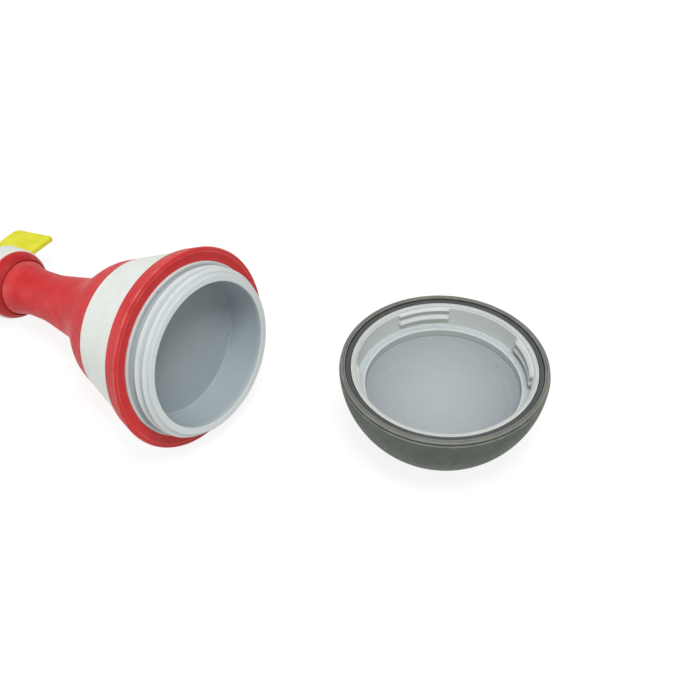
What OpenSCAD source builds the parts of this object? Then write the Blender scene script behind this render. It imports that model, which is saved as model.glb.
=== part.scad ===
// Buoy-shaped floating treat toy, opened: the body lies on its side and the screw cap stands beside it.
// Millimetres, +Z up. The origin is the centre of the cap's foot, and both pieces stand on Z = 0.

/* [Cup] */
// Inner radius of the cup at its mouth
mouth_r = 32; // [26:0.5:36]
// Wall of the threaded collar
collar_wall = 3.6; // [2.4:0.1:4]
// Height of the collar, from the mouth to the base ring
collar_h = 9.9; // [9:0.1:14]
// Depth of the cup, from the mouth to its floor
cup_depth = 17.8; // [15:0.1:24]
// Thickness of the cup's floor
cup_floor = 2.4; // [1.6:0.1:4]
// How far the cup narrows from its mouth to its floor
cup_draft = 0.5; // [0:0.1:1]
// Radius of the rounding along the cup's rim
cup_rim_round = 0.3; // [0.2:0.1:1.2]
// Radius of the hollow rounding round the cup's floor
cup_floor_round = 0.6; // [0.3:0.1:4]
// Clearance between the shoulder at the collar's foot and the closed cap's liner
shoulder_gap = 0.3; // [0.2:0.05:0.8]
// How much of the shoulder shows in front of the base ring
shoulder_show = 0.9; // [0.5:0.1:1.2]
// How deep the shoulder sits in the base ring
shoulder_deep = 1.6; // [1:0.1:2.5]

/* [Thread] */
// Rise of the thread in one turn
thread_pitch = 4.4; // [4:0.1:5]
// Turns of the thread on the collar
thread_turns = 1.4; // [1:0.1:1.6]
// Distance from the mouth to the start of the thread
thread_start = 1.3; // [1.2:0.1:2]
// Height of the thread above the collar
thread_depth = 1.5; // [1:0.1:1.7]
// Width of the thread at its foot
thread_foot = 2; // [1.4:0.1:2.2]
// Width of the thread at its crest
thread_crest = 1; // [0.5:0.1:1.2]
// Angle over which the thread rises out of the collar at each end
thread_fade = 25; // [10:1:40]
// Turn of the thread's start on the body
thread_turn = 224; // [0:1:359]
// Turn of the thread's start against the cap, with the cap screwed home
closed_turn = 132; // [0:1:359]
// Radial clearance between the collar and the cap's lugs, and between the thread and the cap's wall
thread_gap = 0.4; // [0.3:0.05:0.6]

/* [Body] */
// How far the base ring lies inside the closed cap's dome
base_inset = 0.4; // [0:0.1:2]
// Height of the base ring
base_h = 7.7; // [6:0.1:12]
// Radius of the rounding at the base ring's front edge
base_round = 0.5; // [0.3:0.1:2.5]
// Width of the bevel on the base ring's front
base_bevel = 2.2; // [1:0.1:3]
// How far the bevel falls back
base_bevel_back = 0.3; // [0.1:0.1:1]
// How far the base ring's back edge stands out over the white band
base_proud = 0.8; // [0:0.1:2]
// How far the white band's foot lies inside the base ring's largest radius
band_inset = 3.2; // [2:0.1:4]
// Radius of the white band at the red skin
band_top_r = 32; // [28:0.5:36]
// Height of the white band
band_h = 27; // [18:0.5:40]
// Thickness of the rubber skins
skin_t = 3; // [2:0.1:4]
// Straight stretch of the red skin above the white band
shoulder_lead = 7.4; // [3:0.1:12]
// Height over which the shoulder narrows to the neck
shoulder_h = 28; // [20:0.5:40]
// Height of the neck above the shoulder
neck_h = 43; // [35:0.5:60]
// Radius of the neck at its slimmest
neck_r = 11.2; // [10.5:0.1:14]
// Radius that the neck gains for each millimetre towards the shoulder
neck_taper = 0.17; // [0.05:0.01:0.25]
// Height of the neck's tapered stretch
neck_taper_h = 20; // [10:0.5:28]
// How far the neck flares out at its top
neck_flare = 2.1; // [0.5:0.1:3]
// Height of the flare at the neck's top
neck_flare_h = 13; // [6:0.5:18]

/* [Head] */
// How far the red collar swells out from the edge of its lip
ring_wall = 2.9; // [1.5:0.1:5]
// Height of the red collar
ring_h = 6; // [4:0.1:10]
// Radius of the rounding on the red collar's upper edge
ring_round = 0.5; // [0.3:0.1:1.4]
// How far the collar's lip reaches down over the end of the neck
ring_lip = 0.5; // [0.3:0.1:3]
// Gap between the collar's lip and the neck
ring_gap = 0.3; // [0.2:0.1:1]
// How far the white ring stands out over the red collar
mast_ring_out = 0.7; // [0:0.1:3]
// Height of the white ring
mast_ring_h = 10; // [6:0.1:16]
// Radius of the rounding on the white ring
mast_ring_round = 0.9; // [0.3:0.1:2]
// Radius of the head and of its domed end
head_r = 13; // [12:0.1:15]
// Height of the head's straight stretch above the flag
flag_over = 4.1; // [3:0.1:10]
// Outer radius of the tube inside neck and head
tube_r = 6; // [5:0.1:7]
// Wall of the tube
tube_wall = 1.6; // [1:0.1:2.5]
// How far the tube reaches into the head
tube_in_head = 19; // [10:0.5:22]
// Radius of the rope's hole through the head
rope_hole_r = 4.5; // [3:0.1:5]
// Distance from the middle of the dome up to the rope's hole
rope_hole_lift = 0.2; // [0:0.1:1]
// Depth of the flats at the mouths of the rope's hole, from the head's side
rope_flat_in = 4; // [3:0.1:6]
// Width of the flat round each mouth of the rope's hole
rope_flat = 1.6; // [0.5:0.1:2]

/* [Flag] */
// Height of the flag, along the mast
flag_h = 25.3; // [18:0.1:26]
// Reach of the flag from the mast's axis, at its lower edge
flag_reach = 35.5; // [24:0.5:36]
// How much less the flag reaches at its upper edge
flag_slant = 3; // [0:0.1:6]
// Thickness of the flag
flag_t = 2.4; // [1.6:0.1:3]
// Gap between the white ring and the flag
flag_gap = 1.5; // [1:0.1:3]
// How deep the flag's root sits in the head
flag_root = 4.5; // [3:0.1:5]
// How far the flag's tip droops
flag_droop = 1.2; // [0:0.1:3]
// Radius of the flag's outer corners
flag_corner = 2; // [0.5:0.1:5]

/* [Cap] */
// Radius of the flat foot under the dome
foot_r = 20; // [12:0.5:22]
// Width of the rim
rim_w = 2.2; // [1.8:0.1:3]
// Height of the rim
rim_h = 1.8; // [1.4:0.1:2.4]
// Radius of the rounding on the rim
rim_round = 0.6; // [0.3:0.1:0.7]
// How far the dome's edge stands out past the rim
dome_proud = 0.3; // [0:0.1:0.8]
// Thickness of the dome at its foot
shell_floor = 2.5; // [1.5:0.1:4]
// Width of the liner's flat edge at its top
liner_lip = 1.3; // [0.6:0.1:1.4]
// How far the liner's top lies below the rim
liner_drop = 0.8; // [0.4:0.1:1.5]
// Depth of the sloping lead-in at the liner's mouth
lead_in_h = 1; // [0.6:0.1:3]
// Radius that the lead-in gives up on its way down
lead_in_w = 1.1; // [0.4:0.1:1.4]
// Gap between the closed cup's rim and the ledge below it
ledge_gap = 1.5; // [0.5:0.1:4]
// Width of the ledge
ledge_w = 3.8; // [2.5:0.1:6]
// Height of the step from the ledge down to the bowl
step_h = 3.5; // [1:0.1:5]
// Wall of the liner
liner_wall = 2; // [1.2:0.1:2.2]
// Lugs round the cap
lug_count = 4; // [3:1:6]
// Length of each lug, as an angle
lug_arc = 36; // [20:1:50]
// Turn of the first lug from the X axis
lug_turn = 11; // [0:1:90]
// Width of a lug's ridges at their root in the cap's wall
lug_foot = 2.6; // [1.8:0.1:3]
// Width of a lug's ridges at their tip
lug_tip = 1.6; // [1:0.1:1.8]
// Width of the seal
seal_w = 1.9; // [1.2:0.1:4]
// Height of the seal
seal_h = 2.2; // [1:0.1:2.4]
// How far the seal's outer edge lies below the rim
seal_drop = 0.6; // [0.3:0.1:1.5]
// How far the seal's inner edge lies below its outer edge
seal_slope = 0.5; // [0:0.1:1]
// Clearance round the seal
seal_gap = 0.3; // [0.2:0.05:0.6]

/* [Lay] */
// Place of the cup's mouth along X
lay_x = -99; // [-130:1:-90]
// Place of the cup's mouth along Y
lay_y = 0; // [-20:1:20]
// Heading of the head, seen from above
lay_heading = 144.2; // [100:0.1:180]
// Turn of the body about its own axis, which sets where the flag points
lay_roll = 264; // [180:1:360]
// Clearance between pieces that are moulded over each other
fit_gap = 0.1; // [0.05:0.01:0.2]

/* [Hidden] */
$fn = 96;

// Points on each rounded corner
round_steps = 8;
// Rings of the thread in one turn
thread_steps = 36;
// How far a ridge is rooted in its wall
ridge_root = 0.4;
// Spacing of the points along the body's curved outline
outline_step = 2;
// Length over which the neck's taper runs out
taper_soft = 3;
// Reach of a cutting shape past the surface that it cuts
cut_over = 1;

red = "#cf3a3c";
white = "#e6ebe6";
light_grey = "#c6ced0";
dark_grey = "#5c645c";
black_grey = "#484b48";
yellow = "#e3dc33";
foam_grey = "#b9bcc0";

// Radii of cup and cap, from the cup's mouth outwards
collar_r = mouth_r + collar_wall;
crest_r = collar_r + thread_depth;
wall_r = crest_r + thread_gap;
lead_in_r = wall_r + lead_in_w;
shoulder_r = lead_in_r - shoulder_gap;
liner_r = lead_in_r + liner_lip;
rim_in = liner_r + seal_w + 2 * seal_gap;
rim_r = rim_in + rim_w;
dome_r = rim_r + dome_proud;
ledge_r = wall_r - ledge_w;

// Heights in the cap, from its foot
cap_h = sqrt(dome_r * dome_r - foot_r * foot_r);
liner_top = cap_h - liner_drop;
ledge_top = cap_h - collar_h - ledge_gap;
ledge_low = ledge_top - liner_wall;
bowl_top = ledge_top - step_h;
bowl_floor = shell_floor + fit_gap + liner_wall;
rim_low = cap_h - rim_h;
seal_top = cap_h - seal_drop;
seal_low = seal_top - seal_h;
// The bowl is a ball's bottom through the foot of the step
bowl_dip = bowl_top - bowl_floor;
bowl_ball = (ledge_r * ledge_r + bowl_dip * bowl_dip) / (2 * bowl_dip);
bowl_centre = bowl_floor + bowl_ball;
liner_ball = bowl_ball + liner_wall;

// Stations along the body's axis, from the mouth towards the head
base_front = collar_h + base_bevel_back;
band_z = collar_h + base_h;
skin_z = band_z + band_h;
shoulder_z = skin_z + shoulder_lead;
neck_z = shoulder_z + shoulder_h;
ring_z = neck_z + neck_h;
mast_ring_z = ring_z + ring_h;
head_z = mast_ring_z + mast_ring_h;
head_h = flag_gap + flag_h + flag_over;
dome_z = head_z + head_h;
tube_z = cup_depth + cup_floor;
tube_end = head_z + tube_in_head;
rope_hole_z = dome_z + rope_hole_r + rope_hole_lift;
flag_z = head_z + flag_gap;
// The foam ends below the flared end of the neck
core_end = ring_z - neck_flare_h;

// Radii of the body
base_r = dome_r - base_inset;
band_low_r = base_r - band_inset;
lip_in = stem_r(ring_z) + ring_gap;
ring_r = lip_in + ring_wall;
mast_ring_r = ring_r + mast_ring_out;
rope_hole_len = 2 * (head_r - rope_flat_in);

// The body rests on the rounding of its base ring and on the dome of its head
rest_rise = base_r - base_round;
rest_run = dome_z - base_front - base_round;
rest_span = norm([rest_run, rest_rise]);
lay_tilt = atan2(rest_rise, rest_run) - asin((head_r - base_round) / rest_span);
lay_z = head_r + dome_z * sin(lay_tilt);

function mix(a, b, t) = a + (b - a) * t;
function clamp01(t) = max(0, min(1, t));
function smooth(t) = let (c = clamp01(t)) c * c * (3 - 2 * c);
// Zero below zero and x above it, with a soft bend between
function soft_ramp(x) = (x + norm([x, taper_soft])) / 2;

// Radius of the body's outline at station z
function cone_r(z) = mix(band_low_r, band_top_r, (z - band_z) / band_h);
function stem_r(z) =
    neck_r + neck_taper * soft_ramp(neck_z + neck_taper_h - z)
    + neck_flare * pow(clamp01(1 - (ring_z - z) / neck_flare_h), 2);
function outline_r(z) = mix(cone_r(z), stem_r(z), smooth((z - shoulder_z) / shoulder_h));

// Stations from z0 to z1, both ends included
function stations(z0, z1) =
    let (count = ceil((z1 - z0) / outline_step))
    [for (i = [0 : count]) mix(z0, z1, i / count)];

// Points of an arc round centre, from angle a0 to a1
function arc(centre, r, a0, a1) =
    [for (i = [0 : round_steps]) let (a = mix(a0, a1, i / round_steps)) centre + r * [cos(a), sin(a)]];

// Outline of a ring with rounded outer corners, as points of radius and height
function ring_points(r_in, r_out, z0, z1, low_round, top_round) = concat(
    [[r_in, z0]],
    arc([r_out - low_round, z0 + low_round], low_round, -90, 0),
    arc([r_out - top_round, z1 - top_round], top_round, 0, 90),
    [[r_in, z1]]
);

// Corners of a ridge's section, from its root inside the wall to its tip
function ridge_section(root_r, tip_r, foot, tip) = [
    [root_r, -foot / 2],
    [tip_r, -tip / 2],
    [tip_r, tip / 2],
    [root_r, foot / 2]
];

// Crest of the thread at an angle along it, which sinks into the collar at both ends
function thread_crest_r(a) =
    mix(collar_r - ridge_root / 2, crest_r, clamp01(min(a, thread_turns * 360 - a) / thread_fade));

// Heights of a lug's ridges above the ledge: midway between the turns of the thread, with the cap closed
function lug_heights(a) =
    let (
        between = cap_h - collar_h + thread_start + thread_pitch * ((a - closed_turn) / 360 + 0.5),
        first = between - thread_pitch * floor((between - ledge_top) / thread_pitch)
    )
    [for (z = [first : thread_pitch : liner_top - lug_foot / 2]) z];

// Puts a shape of the upright body where the opened toy lies
module lay() {
    translate([lay_x, lay_y, lay_z])
        rotate([0, 90 + lay_tilt, lay_heading])
            rotate([0, 0, lay_roll])
                children();
}

// Right-handed thread that winds up the collar
module collar_thread() {
    count = round(thread_turns * thread_steps);
    points = [
        for (i = [0 : count])
            let (a = 360 * thread_turns * i / count)
            for (p = ridge_section(collar_r - ridge_root, thread_crest_r(a), thread_foot, thread_crest))
                [p.x * cos(a), p.x * sin(a), p.y + thread_start + thread_pitch * a / 360]
    ];
    corners = len(points) / (count + 1);
    sides = [
        for (i = [0 : count - 1])
            for (k = [0 : corners - 1])
                let (a = i * corners + k, b = i * corners + (k + 1) % corners)
                each [[a, b, a + corners], [b, b + corners, a + corners]]
    ];
    first = [for (k = [1 : corners - 2]) [0, k + 1, k]];
    last = [for (k = [1 : corners - 2]) [0, k, k + 1] + count * corners * [1, 1, 1]];
    rotate([0, 0, thread_turn])
        polyhedron(points, concat(sides, first, last));
}

module treat_cup() {
    floor_corner = [mouth_r - cup_draft - cup_floor_round, cup_depth - cup_floor_round];
    color(light_grey)
        lay() union() {
            rotate_extrude()
                polygon(concat(
                    [[0, cup_depth + cup_floor], [0, cup_depth]],
                    arc(floor_corner, cup_floor_round, 90, 0),
                    arc([mouth_r + cup_rim_round, cup_rim_round], cup_rim_round, 180, 270),
                    arc([collar_r - cup_rim_round, cup_rim_round], cup_rim_round, 270, 360),
                    [
                        [collar_r, collar_h - shoulder_show],
                        [shoulder_r, collar_h - shoulder_show],
                        [shoulder_r, collar_h + shoulder_deep],
                        [collar_r, collar_h + shoulder_deep],
                        [collar_r, cup_depth + cup_floor]
                    ]
                ));
            collar_thread();
        }
}

module base_ring() {
    back_r = band_low_r + base_proud;
    color(red)
        lay() difference() {
            rotate_extrude()
                polygon(concat(
                    [[collar_r + fit_gap, collar_h], [base_r - base_bevel, collar_h]],
                    arc([base_r - base_round, base_front + base_round], base_round, -90, 0),
                    [[back_r, band_z], [collar_r + fit_gap, band_z]]
                ));
            translate([0, 0, collar_h - cut_over])
                cylinder(r = shoulder_r + fit_gap, h = shoulder_deep + cut_over);
        }
}

module white_band() {
    color(white)
        lay() rotate_extrude()
            polygon([
                [band_low_r, band_z],
                [band_top_r, skin_z],
                [band_top_r - skin_t, skin_z],
                [band_low_r - skin_t, band_z]
            ]);
}

module bell_skin() {
    outer = stations(skin_z, ring_z);
    inner = stations(skin_z, core_end);
    color(red)
        lay() rotate_extrude()
            polygon(concat(
                [for (z = outer) [outline_r(z), z]],
                [[tube_r + fit_gap, ring_z], [tube_r + fit_gap, core_end]],
                [for (i = [len(inner) - 1 : -1 : 0]) [outline_r(inner[i]) - skin_t, inner[i]]]
            ));
}

module float_core() {
    inset = skin_t + fit_gap;
    color(foam_grey)
        lay() difference() {
            rotate_extrude()
                polygon(concat(
                    [[0, band_z], [cone_r(band_z) - inset, band_z]],
                    [for (z = stations(skin_z, core_end)) [outline_r(z) - inset, z]],
                    [[0, core_end]]
                ));
            translate([0, 0, band_z - cut_over])
                cylinder(r = collar_r + fit_gap, h = tube_z - band_z + cut_over);
            cylinder(r = tube_r + fit_gap, h = core_end + cut_over);
        }
}

module mast_tube() {
    color(light_grey)
        lay() translate([0, 0, tube_z])
            difference() {
                cylinder(r = tube_r, h = tube_end - tube_z);
                translate([0, 0, -cut_over])
                    cylinder(r = tube_r - tube_wall, h = tube_end - tube_z + 2 * cut_over);
            }
}

module neck_collar() {
    lip_z = ring_z - ring_lip;
    swell_z = mast_ring_z - ring_round;
    color(red)
        lay() rotate_extrude()
            polygon(concat(
                [[tube_r + fit_gap, ring_z], [lip_in, ring_z]],
                [
                    for (i = [0 : round_steps - 1])
                        let (t = i / round_steps)
                        [lip_in + ring_wall * sin(90 * t), mix(lip_z, swell_z, t)]
                ],
                arc([ring_r - ring_round, swell_z], ring_round, 0, 90),
                [[tube_r + fit_gap, mast_ring_z]]
            ));
}

module mast_ring() {
    color(white)
        lay() rotate_extrude()
            polygon(ring_points(
                tube_r + fit_gap, mast_ring_r, mast_ring_z, head_z, mast_ring_round, mast_ring_round
            ));
}

// Side view of the flag: its root is square, its outer edge slants and its outer corners are round
module flag_outline() {
    inner = head_r - flag_root;
    lean = atan2(flag_slant, flag_h);
    edge = flag_reach * cos(lean) + flag_z * sin(lean) - flag_corner;
    low = flag_z + flag_corner;
    top = flag_z + flag_h - flag_corner;
    polygon(concat(
        [[inner, flag_z]],
        arc([(edge - low * sin(lean)) / cos(lean), low], flag_corner, -90, lean),
        arc([(edge - top * sin(lean)) / cos(lean), top], flag_corner, lean, 90),
        [[inner, flag_z + flag_h]]
    ));
}

module flag() {
    run = flag_reach - head_r;
    bent = [for (x = stations(head_r, flag_reach)) [x, flag_droop * pow((x - head_r) / run, 2)]];
    inner = head_r - flag_root;
    top = concat([[inner, 0]], bent);
    color(yellow)
        lay() intersection() {
            rotate([90, 0, 0])
                linear_extrude(4 * (flag_t + flag_droop), center = true)
                    flag_outline();
            translate([0, 0, flag_z - cut_over])
                linear_extrude(flag_h + 2 * cut_over)
                    polygon(concat(
                        [for (p = top) p - [0, flag_t / 2]],
                        [for (i = [len(top) - 1 : -1 : 0]) top[i] + [0, flag_t / 2]]
                    ));
        }
}

module head_cap() {
    inner = head_r - flag_root;
    color(red)
        lay() difference() {
            union() {
                translate([0, 0, head_z])
                    cylinder(r = head_r, h = head_h);
                translate([0, 0, dome_z])
                    intersection() {
                        sphere(r = head_r);
                        cylinder(r = head_r + cut_over, h = head_r + cut_over);
                    }
            }
            translate([0, 0, head_z - cut_over])
                cylinder(r = tube_r + fit_gap, h = tube_in_head + cut_over);
            translate([inner, -flag_t / 2, flag_z])
                cube([flag_root + cut_over, flag_t, flag_h]);
            translate([0, 0, rope_hole_z])
                rotate([0, 90, 0])
                    cylinder(r = rope_hole_r, h = 2 * (head_r + cut_over), center = true);
            for (side = [0, 180])
                rotate([0, 0, side])
                    translate([rope_hole_len / 2, 0, rope_hole_z])
                        rotate([0, 90, 0])
                            cylinder(r = rope_hole_r + rope_flat, h = head_r);
        }
}

// The part of a ball below a given height
module ball_bottom(r, centre, top) {
    intersection() {
        translate([0, 0, centre])
            sphere(r = r);
        translate([0, 0, centre - r - cut_over])
            cylinder(r = r + cut_over, h = top - centre + r + cut_over);
    }
}

module cap_shell() {
    color(dark_grey)
        difference() {
            intersection() {
                ball_bottom(dome_r, cap_h, rim_low);
                cylinder(r = dome_r + cut_over, h = cap_h);
            }
            ball_bottom(liner_ball + fit_gap, bowl_centre, ledge_low);
            translate([0, 0, ledge_low])
                cylinder(r = liner_r + fit_gap, h = cap_h);
            translate([0, 0, seal_low])
                cylinder(r = rim_in, h = cap_h);
        }
}

module cap_rim() {
    color(dark_grey)
        rotate_extrude()
            polygon(ring_points(rim_in, rim_r, rim_low, cap_h, rim_round, rim_round));
}

module cap_seal() {
    inner = liner_r + seal_gap;
    outer = rim_in - seal_gap;
    color(black_grey)
        rotate_extrude()
            polygon([
                [inner, seal_low],
                [outer, seal_low],
                [outer, seal_top],
                [inner, seal_top - seal_slope]
            ]);
}

// One lug of the cap's thread: ridges with square ends
module lug(a) {
    rotate([0, 0, a - lug_arc / 2])
        for (z = lug_heights(a))
            translate([0, 0, z])
                rotate_extrude(angle = lug_arc)
                    polygon(ridge_section(lead_in_r + ridge_root, collar_r + thread_gap, lug_foot, lug_tip));
}

module cap_liner() {
    color(light_grey)
        union() {
            difference() {
                union() {
                    ball_bottom(liner_ball, bowl_centre, ledge_low + liner_wall / 2);
                    translate([0, 0, ledge_low])
                        cylinder(r = liner_r, h = liner_top - ledge_low);
                }
                ball_bottom(bowl_ball, bowl_centre, bowl_top);
                translate([0, 0, bowl_top])
                    cylinder(r = ledge_r, h = cap_h);
                translate([0, 0, ledge_top])
                    cylinder(r = wall_r, h = cap_h);
                translate([0, 0, liner_top - lead_in_h])
                    cylinder(r1 = wall_r, r2 = lead_in_r, h = lead_in_h);
            }
            for (i = [0 : lug_count - 1])
                lug(lug_turn + 360 * i / lug_count);
        }
}

treat_cup();
base_ring();
white_band();
bell_skin();
float_core();
mast_tube();
neck_collar();
mast_ring();
head_cap();
flag();
cap_shell();
cap_rim();
cap_seal();
cap_liner();
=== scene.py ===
"""Looks of the opened floating treat toy: rubber body on its side, grey screw cup, dark cap beside it."""

import math

import bmesh
import bpy
from mathutils import Matrix, Vector, noise

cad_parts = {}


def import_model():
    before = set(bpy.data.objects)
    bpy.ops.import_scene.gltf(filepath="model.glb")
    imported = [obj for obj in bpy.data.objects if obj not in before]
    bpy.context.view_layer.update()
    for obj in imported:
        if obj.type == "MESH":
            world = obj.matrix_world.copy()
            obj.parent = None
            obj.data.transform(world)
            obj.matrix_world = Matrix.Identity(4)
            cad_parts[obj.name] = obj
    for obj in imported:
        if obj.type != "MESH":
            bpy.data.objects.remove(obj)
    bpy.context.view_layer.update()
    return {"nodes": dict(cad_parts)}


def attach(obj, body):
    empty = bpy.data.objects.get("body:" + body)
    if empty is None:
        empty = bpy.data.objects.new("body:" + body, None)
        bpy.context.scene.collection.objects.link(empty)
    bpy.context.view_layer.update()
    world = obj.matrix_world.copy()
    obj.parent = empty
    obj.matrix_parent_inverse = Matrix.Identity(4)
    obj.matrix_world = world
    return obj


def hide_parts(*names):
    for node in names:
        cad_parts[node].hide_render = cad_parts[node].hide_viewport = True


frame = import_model()

MM = 0.001
IMAGE_PX = 700

# Cup and thread, in millimetres from the cup's mouth
MOUTH_R = 32.0
COLLAR_R = 35.6
COLLAR_H = 9.9
CUP_DEPTH = 17.8
CUP_BACK = 20.2
CUP_DRAFT = 0.5
CUP_FLOOR_ROUND = 0.5
CUP_RIM_ROUND = 0.3
SHOULDER_R = 38.3
SHOULDER_SHOW = 0.9
SHOULDER_DEEP = 1.6
SHOULDER_ROUND = 0.2
COLLAR_ROOT_ROUND = 1.2
THREAD_PITCH = 4.4
THREAD_TURNS = 1.4
THREAD_START = 1.3
THREAD_TURN = 224.0
THREAD_LEAD = 110.0
THREAD_LEAD_FADE = 40.0
THREAD_FADE = 25.0
THREAD_STEPS = 96
CLOSED_TURN = 132.0

# Body
BASE_R = 44.5
BASE_ROUND = 0.5
BASE_BACK_ROUND = 0.4
BASE_SEAT_ROUND = 0.15
BASE_BEVEL = 2.2
BASE_FRONT = COLLAR_H + 0.3
BAND_Z = 17.6
BASE_BACK_R = 42.1
BAND_LOW_R = 41.3
BAND_TOP_R = 32.0
BAND_ROUND = 0.1
SKIN_Z = 44.6
SKIN_T = 3.0
SHOULDER_Z = 52.0
SHOULDER_H = 28.0
NECK_Z = 80.0
NECK_R = 11.2
NECK_TAPER = 0.17
NECK_TAPER_H = 20.0
TAPER_SOFT = 3.0
NECK_FLARE = 2.1
NECK_FLARE_H = 13.0
CORE_END = 110.0

# Collar, white ring, head and flag
RING_Z = 123.0
RING_LIP = 0.5
RING_GAP = 0.3
RING_WALL = 2.9
RING_ROUND = 0.5
MAST_RING_Z = 129.0
MAST_RING_OUT = 0.7
MAST_RING_ROUND = 0.9
HEAD_Z = 139.0
HEAD_R = 13.0
DOME_Z = 169.9
TUBE_R = 6.1
TUBE_DEEP = 19.0
ROPE_HOLE_R = 4.5
ROPE_HOLE_Z = 174.6
ROPE_HOLE_HALF = 9.0
ROPE_FLAT = 1.6
FLAG_Z = 140.5
FLAG_H = 25.3
FLAG_REACH = 35.5
FLAG_SLANT = 3.0
FLAG_T = 2.4
FLAG_ROOT = 4.5
FLAG_DROOP = 1.2
FLAG_CORNER = 2.0

# Cap, in millimetres from its foot
DOME_R = 44.9
FOOT_R = 20.0
CAP_H = math.sqrt(DOME_R ** 2 - FOOT_R ** 2)
RIM_R = 44.6
RIM_IN = 42.4
RIM_LOW = CAP_H - 1.8
RIM_ROUND = 0.6
SEAL_TOP = CAP_H - 0.6
SEAL_H = 2.2
SEAL_SLOPE = 0.5
SEAL_GAP = 0.3
SEAL_ROUND = 0.35
SEAL_FOOT_ROUND = 0.2
LINER_R = 39.9
LINER_TOP = CAP_H - 0.8
LEAD_IN_R = 38.6
LEAD_IN_H = 1.0
WALL_R = 37.5
LEDGE_TOP = CAP_H - 11.4
LEDGE_R = 33.7
BOWL_TOP = LEDGE_TOP - 3.5
BOWL_FLOOR = 4.6
LINER_WALL = 2.0
LINER_ROUND = 0.3
LEDGE_ROUND = 0.5
BOWL_ROUND = 1.0
BOWL_DIP = BOWL_TOP - BOWL_FLOOR
BOWL_BALL = (LEDGE_R ** 2 + BOWL_DIP ** 2) / (2 * BOWL_DIP)
BOWL_CENTRE = BOWL_FLOOR + BOWL_BALL
LUG_COUNT = 4
LUG_ARC = 36.0
LUG_TURN = 11.0
LUG_ROOT_R = 39.0
LUG_TIP_R = 36.0
LUG_FOOT = 2.6
LUG_TIP = 1.6

# Clearance between pieces
FIT = 0.1

# Meshes: steps of a rounding, the most of a side that it takes, the points that hold the side straight
# beside it and the room that they need, and steps round a turned piece
ROUND_STEPS = 6
ROUND_SHARE = 0.47
HOLD = 0.12
HOLD_ROOM = 2.2
SEGMENTS = 144
FINE_SEGMENTS = 288
HEAD_SEGMENTS = 96
CUTTER_SEGMENTS = 64
AXIS_R = 1e-6
MERGE_DIST = 1e-7

# Where the body lies: it rests on its base ring and on the dome of its head
REST_RISE = BASE_R - BASE_ROUND
REST_RUN = DOME_Z - BASE_FRONT - BASE_ROUND
REST_SPAN = math.hypot(REST_RUN, REST_RISE)
LAY_TILT = math.atan2(REST_RISE, REST_RUN) - math.asin((HEAD_R - BASE_ROUND) / REST_SPAN)
LAY_X = -99.0
LAY_PLACE = Vector((LAY_X, 0.0, HEAD_R + DOME_Z * math.sin(LAY_TILT))) * MM
LAY_HEADING = math.radians(144.2)
LAY_ROLL = math.radians(264.0)
LAY = (
    Matrix.Translation(LAY_PLACE)
    @ Matrix.Rotation(LAY_HEADING, 4, "Z")
    @ Matrix.Rotation(math.pi / 2 + LAY_TILT, 4, "Y")
    @ Matrix.Rotation(LAY_ROLL, 4, "Z")
)


def mix(a, b, t):
    return a + (b - a) * t


def clamp01(t):
    return max(0.0, min(1.0, t))


def smooth(t):
    t = clamp01(t)
    return t * t * (3 - 2 * t)


def wander(a, scale, seed):
    """Smooth value between about -1 and 1 that closes on itself round a ring."""
    return noise.noise(Vector((math.cos(a) * scale, math.sin(a) * scale, seed)))


# Outlines: lists of points of radius, height, and wear with painted light

def rounded(corners):
    """Closed outline through corners of radius, height and rounding.

    Wear and painted light is 1 on edges, for pale edges that are partly wear and partly painted highlight,
    and -1 in creases, for painted shade.
    """
    out = []
    count = len(corners)
    area = sum(a[0] * b[1] - a[1] * b[0] for a, b in zip(corners, corners[1:] + corners[:1]))
    for i, (x, y, q) in enumerate(corners):
        p = Vector((x, y))
        if q <= 0:
            out.append((x, y, 0.0))
            continue
        a = Vector(corners[i - 1][:2]) - p
        b = Vector(corners[(i + 1) % count][:2]) - p
        half = a.angle(b) / 2
        run = min(q / math.tan(half), ROUND_SHARE * a.length, ROUND_SHARE * b.length)
        q = run * math.tan(half)
        a_dir, b_dir = a.normalized(), b.normalized()
        wear = math.copysign(1.0, area * (a_dir.y * b_dir.x - a_dir.x * b_dir.y))
        centre = p + (a_dir + b_dir).normalized() * (q / math.sin(half))
        start, end = p + a_dir * run - centre, p + b_dir * run - centre
        a0 = math.atan2(start.y, start.x)
        sweep = (math.atan2(end.y, end.x) - a0 + math.pi) % (2 * math.pi) - math.pi
        if a.length > HOLD_ROOM * (run + HOLD):
            out.append((*(p + a_dir * (run + HOLD)), 0.0))
        for k in range(ROUND_STEPS + 1):
            t = a0 + sweep * k / ROUND_STEPS
            out.append((centre.x + q * math.cos(t), centre.y + q * math.sin(t), wear))
        if b.length > HOLD_ROOM * (run + HOLD):
            out.append((*(p + b_dir * (run + HOLD)), 0.0))
    return out


def plain(points):
    """Points of radius and height, without wear or painted light."""
    return [(r, z, 0.0) for r, z in points]


def cone_r(z):
    """Radius of the white band's cone."""
    return mix(BAND_LOW_R, BAND_TOP_R, (z - BAND_Z) / (SKIN_Z - BAND_Z))


def stem_r(z):
    """Radius of the neck, which tapers off and flares towards the collar."""
    ramp = NECK_Z + NECK_TAPER_H - z
    taper = NECK_TAPER * (ramp + math.hypot(ramp, TAPER_SOFT)) / 2
    return NECK_R + taper + NECK_FLARE * clamp01(1 - (RING_Z - z) / NECK_FLARE_H) ** 2


def outline_r(z):
    """Radius of the bell, from the band's cone into the neck."""
    return mix(cone_r(z), stem_r(z), smooth((z - SHOULDER_Z) / SHOULDER_H))


def stations(z0, z1, step):
    count = math.ceil(abs(z1 - z0) / step)
    return [mix(z0, z1, i / count) for i in range(count + 1)]


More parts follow.
